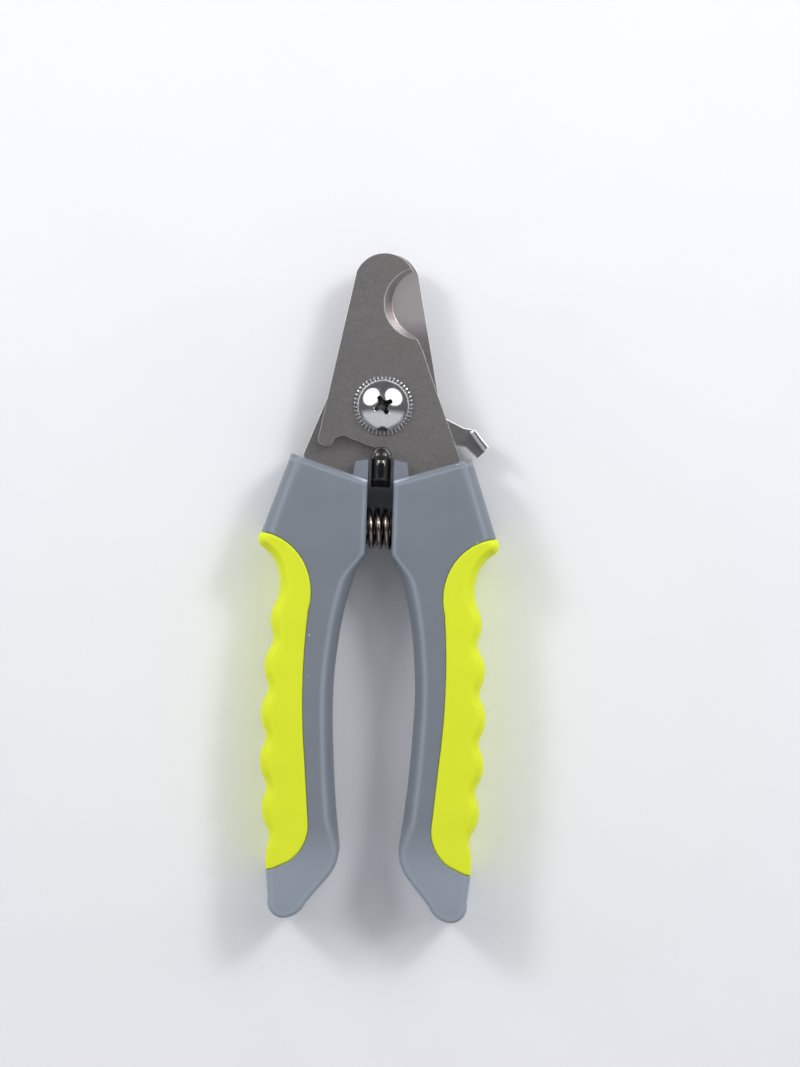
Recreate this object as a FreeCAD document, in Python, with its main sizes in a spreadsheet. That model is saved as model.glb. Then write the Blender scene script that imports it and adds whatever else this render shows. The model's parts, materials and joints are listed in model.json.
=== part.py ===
"""Scissor nail clipper for pets: two crossed blades on one screw, with a guard, a catch and a return spring.

Every piece is drawn about the pivot axis: X across the handles, Y towards the jaw tips, Z up out of the
front face. The row's origin is the middle of the footprint, on the surface the clipper lies on, so each
piece is then moved along Y by the same pivot offset. Sizes are in millimetres.
"""
import FreeCAD, Part
import math
import os
import re
import Sketcher

os.makedirs("parts", exist_ok=True)
doc = FreeCAD.newDocument("NailClipper")

# Driving dimensions. Y values are distances from the pivot axis, Z values are heights above the table.
SIZES = {
    "tip_reach": 33.2,            # pivot to the jaw tips
    "handle_reach": 111.8,        # pivot to the handle ends
    "handle_thickness": 16.0,     # height of the handles
    "shoulder_half_width": 26.2,  # widest point of each handle
    "handle_gap": 2.8,            # inner handle face to the centre line
    "core_skin": 2.3,             # soft cover over the front and back of the hard core
    "blade_thickness": 2.5,
    "blade_clearance": 0.04,      # between the two blades' mating faces
    "notch_radius": 7.5,          # cutting edge, on the mating face
    "notch_across": 8.8,
    "notch_along": 22.7,
    "bevel_radius": 7.8,          # outer edge of the hollow-ground bevel
    "bevel_across": 7.3,
    "bevel_along": 22.5,
    "tang_hole_radius": 1.0,
    "pivot_radius": 2.5,
    "pivot_clearance": 0.05,      # running fit of blades and guard on the screw
    "screw_head_radius": 5.55,
    "screw_rim": 0.6,
    "screw_dome": 2.9,            # height of the whole head
    "recess_width": 1.1,
    "recess_span": 5.2,
    "recess_depth": 1.7,
    "toothed_washer_radius": 6.5,
    "toothed_washer_thickness": 0.8,
    "washer_tooth": 0.45,
    "washer_tooth_count": 40,
    "guard_thickness": 1.0,
    "guard_ring_radius": 7.4,
    "guard_clearance": 0.05,
    "guard_lip": 3.2,             # height of the bent thumb lip
    "spring_washer_radius": 5.2,
    "spring_washer_rise": 0.35,
    "spring_washer_thickness": 0.35,
    "flat_washer_radius": 5.0,
    "flat_washer_thickness": 0.6,
    "nut_across_flats": 8.0,
    "nut_thickness": 2.1,
    "screw_end": 0.7,             # height of the screw's end above the table
    "spring_along": 26.7,         # pivot to the spring's axis
    "spring_mean_radius": 4.15,
    "spring_wire_radius": 0.6,
    "spring_pitch": 1.68,
    "spring_half_length": 9.2,
    "spring_clearance": 0.35,     # spring to its pocket, all round
    "peg_radius": 3.0,
    "peg_length": 3.2,
    "catch_along": 11.3,          # pivot to the centre of the catch's round head
    "catch_radius": 2.1,
    "catch_clearance": 0.3,       # catch head to the blades' heel notches
    "catch_length": 5.0,          # head centre to the end of the stem
    "catch_pad_length": 6.5,      # head centre to the end of the thumb pad
    "catch_half_depth": 4.8,      # stem, each way from the blades' mating plane
    "catch_pad_rise": 2.1,
    "catch_travel": 5.1,
    "track_depth": 1.4,
    "track_width": 2.4,
    "track_clearance": 0.2,
    "scallop_first": 46.2,        # pivot to the first finger bump
    "scallop_pitch": 10.6,
    "scallop_depth": 1.25,
    "scallop_crown": 24.5,        # furthest bump from the centre line
    "scallop_fall": 0.3,          # how fast the bumps fall back from the crown
    "grip_end": 10.2,             # handle end to the end of the grip
}

sheet = doc.addObject("Spreadsheet::Sheet", "Sizes")
for row, (alias, size) in enumerate(SIZES.items(), start=1):
    sheet.set(f"A{row}", alias)
    sheet.set(f"B{row}", str(size))
    sheet.setAlias(f"B{row}", alias)
doc.recompute()

MID = "0.5*handle_thickness"                       # the blades' mating plane
PIVOT_ALONG = "0.5*handle_reach - 0.5*tip_reach"   # pivot from the middle of the footprint
RIGHT = 1
LEFT = -1
SCALLOP_CROWN_ROW = 2.3                            # where the crown lies, counted in bumps
BUMP_SHARE = 0.7                                   # of each half pitch, the rest is the valley
SCREW_TURN = 28                                    # how far the cross recess happens to be turned, degrees
OVERCUT = 0.25                                     # how far a grinding cone runs past each face


def worth(text):
    """Value of a sum of products of sizes and numbers, such as 'tip_reach - 0.5*scallop_pitch'."""
    total = 0.0
    sign = 1.0
    for word in text.split():
        if word in ("+", "-"):
            sign = -1.0 if word == "-" else 1.0
            continue
        product = sign
        for factor in word.split("*"):
            if factor.startswith("-"):
                product = -product
                factor = factor[1:]
            product *= SIZES[factor] if factor in SIZES else float(factor)
        total += product
        sign = 1.0
    return total


def formula(text, side=RIGHT):
    """The same sum as an expression on the sheet, mirrored for the left side."""
    sheet_text = re.sub(r"[a-z_]{3,}", lambda word: "Sizes." + word.group(), text)
    return sheet_text if side == RIGHT else f"-1 * ({sheet_text})"


def origin_plane(body, role):
    return next(feature for feature in body.Origin.OriginFeatures if feature.Role == role)


def new_body(label):
    """An empty body, placed so that its own origin is on the pivot axis at table height."""
    body = doc.addObject("PartDesign::Body", label)
    body.Label = label
    body.setExpression("Placement.Base.y", formula(PIVOT_ALONG))
    return body


def new_sketch(body, name, role="XY_Plane", level="0"):
    """A sketch on one of the body's own origin planes, raised along the plane's normal by level."""
    sketch = body.newObject("Sketcher::SketchObject", name)
    sketch.AttachmentSupport = [(origin_plane(body, role), "")]
    sketch.MapMode = "FlatFace"
    sketch.AttachmentOffset = FreeCAD.Placement(FreeCAD.Vector(0, 0, worth(level)), FreeCAD.Rotation())
    sketch.setExpression("AttachmentOffset.Base.z", formula(level))
    return sketch


def bind_point(sketch, geometry, position, across, along, side):
    """Hold one point at two distances from the sketch's origin, both read from the sheet."""
    for kind, text, mirror in (("DistanceX", across, side), ("DistanceY", along, RIGHT)):
        value = mirror * worth(text)
        index = sketch.addConstraint(Sketcher.Constraint(kind, -1, 1, geometry, position, value))
        sketch.setExpression(f"Constraints[{index}]", formula(text, mirror))


def arc_through(begin, middle, end):
    """An anticlockwise arc through three points, and which of its ends (1 or 2) is the first point."""
    circle = Part.Arc(begin, middle, end).toShape().Curve
    centre = circle.Center
    clockwise = (middle - begin).cross(end - middle).z < 0
    first, last = (end, begin) if clockwise else (begin, end)
    start_angle = math.atan2(first.y - centre.y, first.x - centre.x)
    end_angle = math.atan2(last.y - centre.y, last.x - centre.x)
    full = Part.Circle(centre, FreeCAD.Vector(0, 0, 1), circle.Radius)
    return Part.ArcOfCircle(full, start_angle, end_angle), 2 if clockwise else 1


def draw_loop(sketch, path, side=RIGHT):
    """Close an outline of lines and three-point arcs.

    path is a start point (x, y), then for each stretch either (x, y), the end of a line,
    or (mid x, mid y, x, y), a point on an arc and the arc's end. The last stretch returns to the start.
    """
    def spot(across, along):
        return FreeCAD.Vector(side * worth(across), worth(along), 0)

    start = path[0]
    here = start
    stretches = []
    for step in path[1:]:
        end = step[-2:]
        first = 1
        if len(step) == 2:
            shape = Part.LineSegment(spot(*here), spot(*end))
        else:
            shape, first = arc_through(spot(*here), spot(*step[:2]), spot(*end))
        index = sketch.addGeometry(shape)
        stretches.append((index, first, here, step))
        here = end
    if here != start:
        index = sketch.addGeometry(Part.LineSegment(spot(*here), spot(*start)))
        stretches.append((index, 1, here, start))
    for number, (index, first, begin, step) in enumerate(stretches):
        before, before_first = stretches[number - 1][:2]
        sketch.addConstraint(Sketcher.Constraint("Coincident", before, 3 - before_first, index, first))
        bind_point(sketch, index, first, *begin, side)
        if len(step) == 4:
            marker = sketch.addGeometry(Part.Point(spot(*step[:2])), True)
            bind_point(sketch, marker, 1, *step[:2], side)
            sketch.addConstraint(Sketcher.Constraint("PointOnObject", marker, 1, index))


def draw_circle(sketch, across, along, radius, side=RIGHT):
    centre = FreeCAD.Vector(side * worth(across), worth(along), 0)
    index = sketch.addGeometry(Part.Circle(centre, FreeCAD.Vector(0, 0, 1), worth(radius)))
    bind_point(sketch, index, 3, across, along, side)
    rule = sketch.addConstraint(Sketcher.Constraint("Radius", index, worth(radius)))
    sketch.setExpression(f"Constraints[{rule}]", formula(radius))


def rectangle(left, bottom, right, top):
    return [(left, bottom), (right, bottom), (right, top), (left, top), (left, bottom)]


def pad(body, sketch, length):
    feature = body.newObject("PartDesign::Pad", sketch.Name + "Pad")
    feature.Profile = sketch
    feature.Length = worth(length)
    feature.setExpression("Length", formula(length))
    sketch.Visibility = False
    doc.recompute()
    return feature


def pocket(body, sketch, length, forward=True):
    """Cut along the sketch's normal, or against it, and insist that material went."""
    before = body.Shape.Volume
    feature = body.newObject("PartDesign::Pocket", sketch.Name + "Pocket")
    feature.Profile = sketch
    feature.Length = worth(length)
    feature.Reversed = forward
    feature.setExpression("Length", formula(length))
    doc.recompute()
    if body.Shape.Volume >= before:
        raise RuntimeError(f"{feature.Name} cut nothing")
    return feature


def revolve(body, sketch, axis="V_Axis"):
    feature = body.newObject("PartDesign::Revolution", sketch.Name + "Revolution")
    feature.Profile = sketch
    feature.ReferenceAxis = (sketch, [axis])
    feature.Angle = 360
    doc.recompute()
    return feature


# Heights of the stack on the screw, from the mating plane outwards.
FRONT_INNER = f"{MID} + 0.5*blade_clearance"
FRONT_OUTER = f"{FRONT_INNER} + blade_thickness"
REAR_INNER = f"{MID} - 0.5*blade_clearance"
REAR_OUTER = f"{REAR_INNER} - blade_thickness"
HEAD_BASE = f"{FRONT_OUTER} + toothed_washer_thickness"
GUARD_FRONT = f"{REAR_OUTER} - guard_clearance"
GUARD_BACK = f"{GUARD_FRONT} - guard_thickness"
CONE_FRONT = f"{GUARD_BACK} - guard_clearance"
CONE_BACK = f"{CONE_FRONT} - spring_washer_rise - spring_washer_thickness"
FLAT_BACK = f"{CONE_BACK} - flat_washer_thickness"
NUT_BACK = f"{FLAT_BACK} - nut_thickness"


# ---------------------------------------------------------------- blades

HEEL_NOTCH = "catch_radius + catch_clearance"


def on_heel_notch(degrees):
    """A point of the round notch that clears the catch's head, by its angle from the tang side."""
    turn = math.radians(degrees)
    across = f"{math.cos(turn):.4f}*catch_radius + {math.cos(turn):.4f}*catch_clearance"
    rise = f"{math.sin(turn):.4f}*catch_radius + {math.sin(turn):.4f}*catch_clearance"
    return across, f"{rise} - catch_along"


def tang_path():
    """The part of the blade that is moulded into its handle, from its outer to its inner top corner."""
    return [
        ("15.0", "-20.0"),
        ("13.2", "-45.0"),
        ("11.2", "-47.0", "9.2", "-45.0"),
        ("10.8", "-5.9 - spring_along"),
        ("10.8", "5.9 - spring_along"),
        ("handle_gap + 0.8", "-3.3 - catch_along"),
    ]


def blade_path(toothed):
    """A blade whose jaw leans left and whose tang runs down to the right.

    The rear blade also has a tooth beside the heel notch, which bears on the catch's head.
    """
    path = [("5.4", "tip_reach - 3.6"), ("6.4", "15.3"), ("7.9", "12.9", "9.0", "9.9"), ("17.1", "-11.0")]
    path += tang_path()
    path.append(on_heel_notch(0))
    if toothed:
        path.append(on_heel_notch(79) + on_heel_notch(158))
        path += [("-4.8", "0.9 - catch_along"), ("-5.0", "-8.0")]
    else:
        path.append(on_heel_notch(60) + on_heel_notch(120))
        path.append(("-2.6", "-8.85"))
    path += [
        ("-7.0", "-7.2"),
        ("-8.8", "-6.75", "-10.5", "-7.8"),
        ("-12.4", "-9.15", "-14.0", "-7.9"),
        ("-6.7", "tip_reach - 4.2"),
        ("-0.7", "tip_reach", "5.4", "tip_reach - 3.6"),
    ]
    return path


def draw_tang_holes(sketch, side):
    for across, along in (("12.1", "-37.0"), ("11.4", "-43.0")):
        draw_circle(sketch, across, along, "tang_hole_radius", side)


def ground_circle(body, label, side, inner, facing, share):
    """One circle of the hollow-ground cone, that share of the way from the mating to the outer face."""
    where = "mating" if share < 0.5 else "outer"
    circle = new_sketch(body, f"{label}_{where}_circle", level=f"{inner} + {facing * share}*blade_thickness")
    across = f"{1 - share}*notch_across + {share}*bevel_across"
    along = f"{1 - share}*notch_along + {share}*bevel_along"
    draw_circle(circle, across, along, f"{1 - share}*notch_radius + {share}*bevel_radius", side)
    return circle


def blade(label, side, inner, outer, toothed):
    """One blade: side is the handle it runs into, inner its mating face and outer its ground face."""
    body = new_body(label)
    facing = 1 if worth(outer) > worth(inner) else -1
    outline = new_sketch(body, label + "_outline", level=inner if facing > 0 else outer)
    draw_loop(outline, blade_path(toothed), side)
    draw_circle(outline, "0", "0", "pivot_radius + pivot_clearance", side)
    draw_tang_holes(outline, side)
    pad(body, outline, "blade_thickness")
    rings = [ground_circle(body, label, side, inner, facing, share) for share in (-OVERCUT, 1 + OVERCUT)]
    before = body.Shape.Volume
    hollow = body.newObject("PartDesign::SubtractiveLoft", label + "_hollow_grind")
    hollow.Profile = rings[0] if facing > 0 else rings[1]
    hollow.Sections = rings[1:] if facing > 0 else rings[:1]
    doc.recompute()
    if body.Shape.Volume >= before:
        raise RuntimeError(f"{label} has no notch")


blade("front_blade", RIGHT, FRONT_INNER, FRONT_OUTER, toothed=False)
blade("rear_blade", LEFT, REAR_INNER, REAR_OUTER, toothed=True)


# ---------------------------------------------------------------- handles

def scallop_points():
    """Peaks and valleys of the finger bumps: the peaks lie on a parabola, the valleys between them."""
    reach = SIZES["handle_reach"] - SIZES["grip_end"] - SIZES["scallop_first"]
    count = int(reach / SIZES["scallop_pitch"]) + 1
    peaks = []
    valleys = []
    for number in range(count):
        fall = (number - SCALLOP_CROWN_ROW) ** 2
        peaks.append((f"scallop_crown - {fall:.4f}*scallop_fall", f"-scallop_first - {number}*scallop_pitch"))
    for number in range(count - 1):
        fall = ((number - SCALLOP_CROWN_ROW) ** 2 + (number + 1 - SCALLOP_CROWN_ROW) ** 2) / 2
        across = f"scallop_crown - {fall:.4f}*scallop_fall - scallop_depth"
        valleys.append((across, f"-scallop_first - {number + 0.5}*scallop_pitch"))
    return peaks, valleys


def spread(first, second, share):
    """The point that share of the way from first to second, as a plain sum of products."""
    result = []
    for a, b in zip(first, second):
        words = []
        for weight, text in ((1 - share, a), (share, b)):
            sign = 1
            for word in text.split():
                if word in ("+", "-"):
                    sign = -1 if word == "-" else 1
                    continue
                words.append(f"{sign * weight:.5f}*{word}")
                sign = 1
        result.append(" + ".join(words))
    return tuple(result)


def finger_edge(end):
    """Tangent arcs over the bumps and through the valleys, ending at the grip's lower end."""
    peaks, valleys = scallop_points()
    steps = []
    for number, valley in enumerate(valleys):
        before, after = peaks[number], peaks[number + 1]
        steps.append(before + spread(before, valley, BUMP_SHARE))
        steps.append(valley + spread(after, valley, BUMP_SHARE))
    steps.append(peaks[-1] + end)
    return steps


def handle_path():
    """The whole handle, cover and grip together, seen from the front, clockwise from its inner top."""
    bumps = finger_edge(("22.2", "grip_end - handle_reach"))
    top_corner = ("19.6", "-11.0")
    tail = [
        ("21.6", "4.4 - handle_reach"),
        ("20.7", "1.1 - handle_reach", "18.2", "-handle_reach"),
        ("15.6", "0.8 - handle_reach", "13.3", "3.5 - handle_reach"),
        ("9.0", "8.8 - handle_reach"),
        ("7.2", "11.6 - handle_reach", "6.5", "15.2 - handle_reach"),
    ]
    inner = [
        ("8.0", "-0.5*handle_reach - 27.1", "8.8", "-70.0"),
        ("8.9", "-60.5", "8.2", "-52.0"),
        ("7.2", "-45.2", "5.5", "-38.2"),
        ("4.4", "-35.0", "handle_gap", "-32.4"),
        ("handle_gap", "-16.3"),
    ]
    shoulder = [
        top_corner,
        ("25.5", "-28.2"),
        ("shoulder_half_width", "-29.8", "24.9", "-31.8"),
        ("22.6", "-34.2", "21.5", "-37.0"),
        ("21.2", "-40.0", "22.0", "-43.6"),
    ]
    return [("handle_gap", "-16.3")] + shoulder + bumps + tail + inner


def seam_path():
    """The seam between cover and grip, from beyond the shoulder to beyond the grip's lower end."""
    return [
        ("30.0", "-27.0"),
        ("25.3", "-28.3"),
        ("19.1", "-31.0", "15.4", "-36.0"),
        ("14.4", "-40.0", "14.8", "-45.0"),
        ("15.5", "-60.5", "14.6", "-77.0"),
        ("13.4", "20.8 - handle_reach"),
        ("14.4", "15.8 - handle_reach", "17.4", "12.4 - handle_reach"),
        ("21.2", "grip_end + 0.4 - handle_reach"),
        ("30.0", "grip_end - 0.6 - handle_reach"),
    ]


def core_path():
    """The hard core: it holds the tang, the spring's pocket and the small stop beside the catch."""
    return [
        ("handle_gap", "-0.5 - catch_along"),
        ("5.6", "-1.1 - catch_along"),
        ("6.4", "-18.0"),
        ("16.0", "-15.6"),
        ("20.0", "-31.0"),
        ("18.0", "-38.5"),
        ("20.6", "-68.0", "18.8", "15.8 - handle_reach"),
        ("15.6", "11.6 - handle_reach", "12.2", "15.8 - handle_reach"),
        ("12.2", "-64.0", "10.6", "-50.0"),
        ("6.6", "-36.4"),
        ("handle_gap", "-5.5 - spring_along"),
        ("handle_gap", "-0.5 - catch_along"),
    ]


def cut_core_space(body, side):
    """Hollow a cover or a grip around the hard core."""
    core = new_sketch(body, body.Name + "_core_space", level="core_skin")
    draw_loop(core, core_path(), side)
    pocket(body, core, "handle_thickness - 2*core_skin")


def tang_loop():
    """The tang with the stretch of blade above it that reaches out of the handle."""
    return tang_path() + [on_heel_notch(0), ("1.6", "-9.0"), ("16.4", "-9.0"), ("17.1", "-11.0"), ("15.0", "-20.0")]


def handle_blank(label, side):
    """The block that the cover and the grip are both cut from."""
    body = new_body(label)
    outline = new_sketch(body, label + "_outline")
    draw_loop(outline, handle_path(), side)
    pad(body, outline, "handle_thickness")
    return body


def cut_spring_pocket(body, side):
    """Bore the spring's pocket into the inner face, leaving the peg that centres the coil."""
    bore = new_sketch(body, body.Name + "_spring_pocket", "YZ_Plane", formula_side("handle_gap", side))
    draw_circle(bore, "-spring_along", MID, "spring_mean_radius + spring_wire_radius + spring_clearance")
    return pocket(body, bore, "spring_half_length - handle_gap + spring_clearance", forward=side > 0)


def formula_side(text, side):
    """The same sum for the right side, and with its sign turned for the left."""
    return text if side == RIGHT else " ".join("-" + word if word not in "+-" else word for word in text.split())


def handle(side, tang_bottom):
    name = "right" if side == RIGHT else "left"

    cover = handle_blank(f"{name}_handle_cover", side)
    beyond = new_sketch(cover, cover.Name + "_grip_side")
    draw_loop(beyond, seam_path() + [("30.0", "-27.0")], side)
    pocket(cover, beyond, "handle_thickness")
    cut_core_space(cover, side)
    slot = new_sketch(cover, cover.Name + "_tang_slot", level=tang_bottom)
    draw_loop(slot, tang_loop(), side)
    pocket(cover, slot, "blade_thickness")

    grip = handle_blank(f"{name}_grip", side)
    within = new_sketch(grip, grip.Name + "_cover_side")
    around = [("30.0", "grip_end - 0.6 - handle_reach"), ("30.0", "-8.0 - handle_reach"),
              ("-5.0", "-8.0 - handle_reach"), ("-5.0", "-5.0"), ("30.0", "-5.0")]
    draw_loop(within, seam_path() + around[1:] + [("30.0", "-27.0")], side)
    pocket(grip, within, "handle_thickness")
    cut_core_space(grip, side)

    core = new_body(f"{name}_handle_core")
    block = new_sketch(core, core.Name + "_outline", level="core_skin")
    draw_loop(block, core_path(), side)
    pad(core, block, "handle_thickness - 2*core_skin")
    tang = new_sketch(core, core.Name + "_tang_slot", level=tang_bottom)
    draw_loop(tang, tang_loop(), side)
    draw_tang_holes(tang, side)
    pocket(core, tang, "blade_thickness")
    cut_spring_pocket(core, side)
    peg = new_sketch(core, core.Name + "_spring_peg", "YZ_Plane",
                     formula_side("spring_half_length + spring_clearance - peg_length", side))
    draw_circle(peg, "-spring_along", MID, "peg_radius")
    feature = pad(core, peg, "peg_length")
    feature.Reversed = side < 0
    doc.recompute()
    return core


right_core = handle(RIGHT, FRONT_INNER)
handle(LEFT, REAR_OUTER)

# The catch's rib runs in a track down the inner face of the right core, open at the top.
TRACK_FOOT = f"{MID} - 3.5"
track = new_sketch(right_core, "catch_track", level=f"{TRACK_FOOT} - track_clearance")
draw_loop(track, rectangle("handle_gap - 1.0", "-catch_along - catch_length - catch_travel",
                           "handle_gap + track_depth", "2.0 - catch_along"))
pocket(right_core, track, "track_width")


# ---------------------------------------------------------------- screw, washers and nut

def ring(label, level, thickness, outer, inner="pivot_radius + pivot_clearance"):
    body = new_body(label)
    sketch = new_sketch(body, label + "_ring", level=level)
    draw_circle(sketch, "0", "0", outer)
    draw_circle(sketch, "0", "0", inner)
    pad(body, sketch, thickness)
    return body


def recess_path():
    """A cross of four equal arms: each adds its outer end and the inner corner that follows."""
    corners = []
    for number in range(4):
        turn = math.radians(SCREW_TURN + 90 * number)
        for out, over in ((0.5, -1), (0.5, 1), (None, 1)):
            reach = f"{out}*recess_span" if out else "0.5*recess_width"
            along_arm = f"{math.cos(turn):.5f}*{reach} + {-over * 0.5 * math.sin(turn):.5f}*recess_width"
            across_arm = f"{math.sin(turn):.5f}*{reach} + {over * 0.5 * math.cos(turn):.5f}*recess_width"
            corners.append((along_arm, across_arm))
    return corners + corners[:1]


screw = new_body("pivot_screw")
section = new_sketch(screw, "screw_section", "XZ_Plane")
head_top = f"{HEAD_BASE} + screw_dome"
head_rim = f"{HEAD_BASE} + screw_rim"
draw_loop(section, [
    ("0", "screw_end"),
    ("pivot_radius", "screw_end"),
    ("pivot_radius", HEAD_BASE),
    ("screw_head_radius", HEAD_BASE),
    ("screw_head_radius", head_rim),
    ("0.62*screw_head_radius", f"{HEAD_BASE} + 0.23*screw_rim + 0.77*screw_dome", "0", head_top),
    ("0", "screw_end"),
])
revolve(screw, section)
cross = new_sketch(screw, "screw_recess", level=f"{head_top} - recess_depth")
draw_loop(cross, recess_path())
pocket(screw, cross, "recess_depth")

toothed = ring("toothed_washer", FRONT_OUTER, "toothed_washer_thickness", "toothed_washer_radius - washer_tooth")
tooth_sketch = new_sketch(toothed, "washer_tooth_outline", level=FRONT_OUTER)
root = "toothed_washer_radius - washer_tooth - 0.2"
draw_loop(tooth_sketch, [("-0.42", root), ("0", "toothed_washer_radius"), ("0.42", root), ("-0.42", root)])
tooth = pad(toothed, tooth_sketch, "toothed_washer_thickness")
teeth = toothed.newObject("PartDesign::PolarPattern", "washer_teeth")
teeth.Originals = [tooth]
teeth.Axis = (tooth_sketch, ["N_Axis"])
teeth.Angle = 360
teeth.Occurrences = int(SIZES["washer_tooth_count"])
teeth.setExpression("Occurrences", "Sizes.washer_tooth_count")
toothed.Tip = teeth
doc.recompute()

cone = new_body("spring_washer")
cone_section = new_sketch(cone, "spring_washer_section", "XZ_Plane")
cone_inner = "pivot_radius + pivot_clearance"
draw_loop(cone_section, [
    (cone_inner, f"{CONE_BACK} + spring_washer_thickness"),
    (cone_inner, CONE_BACK),
    ("spring_washer_radius", f"{CONE_BACK} + spring_washer_rise"),
    ("spring_washer_radius", CONE_FRONT),
    (cone_inner, f"{CONE_BACK} + spring_washer_thickness"),
])
revolve(cone, cone_section)

ring("flat_washer", FLAT_BACK, "flat_washer_thickness", "flat_washer_radius")

nut = new_body("pivot_nut")
hexagon = new_sketch(nut, "nut_outline", level=NUT_BACK)
corner = 0.5 / math.cos(math.radians(30))
points = []
for number in range(6):
    turn = math.radians(60 * number)
    points.append((f"{corner * math.cos(turn):.5f}*nut_across_flats", f"{corner * math.sin(turn):.5f}*nut_across_flats"))
draw_loop(hexagon, points + [points[0]])
draw_circle(hexagon, "0", "0", "pivot_radius + pivot_clearance")
pad(nut, hexagon, "nut_thickness")


# ---------------------------------------------------------------- guard

guard = new_body("guard_plate")
guard_outline = new_sketch(guard, "guard_outline", level=GUARD_BACK)
draw_loop(guard_outline, [
    ("-0.9*guard_ring_radius", "0"),
    ("-5.0", "4.6", "-3.4", "9.0"),
    ("-1.8", "tip_reach - 7.0"),
    ("1.2", "tip_reach - 4.6", "4.2", "tip_reach - 7.0"),
    ("5.4", "10.0"),
    ("7.6", "3.4", "12.6", "-1.6"),
    ("17.8", "-4.1"),
    ("20.2", "-4.5"),
    ("23.4", "-8.4"),
    ("21.1", "-10.9"),
    ("18.4", "-8.4"),
    ("11.0", "-7.2", "5.2", "-6.2"),
    ("0", "-guard_ring_radius", "-0.9*guard_ring_radius", "0"),
])
draw_circle(guard_outline, "0", "0", "pivot_radius + pivot_clearance")
pad(guard, guard_outline, "guard_thickness")
lip = new_sketch(guard, "guard_lip_outline", level=GUARD_BACK)
draw_loop(lip, [("20.2", "-4.5"), ("23.4", "-8.4"), ("22.6", "-9.1"), ("19.4", "-5.1"), ("20.2", "-4.5")])
pad(guard, lip, "guard_thickness + guard_lip")


# ---------------------------------------------------------------- return spring

coil = new_body("return_spring")
wire = new_sketch(coil, "spring_wire")
draw_circle(wire, "-spring_half_length + spring_wire_radius", "spring_mean_radius", "spring_wire_radius")
helix = coil.newObject("PartDesign::AdditiveHelix", "spring_coil")
helix.Profile = wire
helix.ReferenceAxis = (wire, ["H_Axis"])
helix.Mode = "pitch-height-angle"
helix.Pitch = SIZES["spring_pitch"]
helix.Height = worth("2*spring_half_length - 2*spring_wire_radius")
helix.setExpression("Pitch", "Sizes.spring_pitch")
helix.setExpression("Height", formula("2*spring_half_length - 2*spring_wire_radius"))
coil.setExpression("Placement.Base.y", formula(f"{PIVOT_ALONG} - spring_along"))
coil.setExpression("Placement.Base.z", formula(MID))
doc.recompute()


# ---------------------------------------------------------------- lock catch

catch = new_body("lock_catch")
STEM_FOOT = f"{MID} - catch_half_depth"
PAD_FOOT = f"{MID} + catch_half_depth + 0.3"
stem = new_sketch(catch, "catch_stem", level=STEM_FOOT)
draw_loop(stem, [
    ("-catch_radius", "-catch_along"),
    ("0", "catch_radius - catch_along", "catch_radius", "-catch_along"),
    ("catch_radius", "-catch_along - catch_length"),
    ("-catch_radius", "-catch_along - catch_length"),
    ("-catch_radius", "-catch_along"),
])
pad(catch, stem, "2*catch_half_depth + 0.3 + catch_pad_rise")
thumb = new_sketch(catch, "catch_thumb_pad", level=PAD_FOOT)
draw_loop(thumb, rectangle("-catch_radius", "-catch_along - catch_pad_length",
                           "catch_radius", "-catch_along - catch_length"))
pad(catch, thumb, "catch_pad_rise")
rib = new_sketch(catch, "catch_rib", level=TRACK_FOOT)
draw_loop(rib, rectangle("catch_radius", "-catch_along - catch_length + 0.2",
                         "handle_gap + track_depth - track_clearance", "-catch_along - 1.6"))
pad(catch, rib, "track_width - 2*track_clearance")
groove = new_sketch(catch, "catch_groove", level=f"{PAD_FOOT} + catch_pad_rise - 0.7")
draw_loop(groove, rectangle("-0.4", "-catch_along - catch_pad_length - 1.0", "0.4", "-catch_along - 0.9"))
pocket(catch, groove, "0.7")


# ---------------------------------------------------------------- checks and files

doc.recompute()
failed = [item.Name for item in doc.Objects if {"Invalid", "Error"} & set(item.State)]
bodies = [item for item in doc.Objects if item.TypeId == "PartDesign::Body"]
for body in bodies:
    if body.Shape.isNull() or not body.Shape.isValid() or len(body.Shape.Solids) != 1:
        failed.append(body.Label)
if failed:
    raise RuntimeError("failed: " + ", ".join(failed))
for body in bodies:
    body.Shape.exportStep(f"parts/{body.Label}.step")
    print(f"{body.Label}: {body.Shape.Volume:.1f} mm3")
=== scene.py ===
import json
import math

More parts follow.
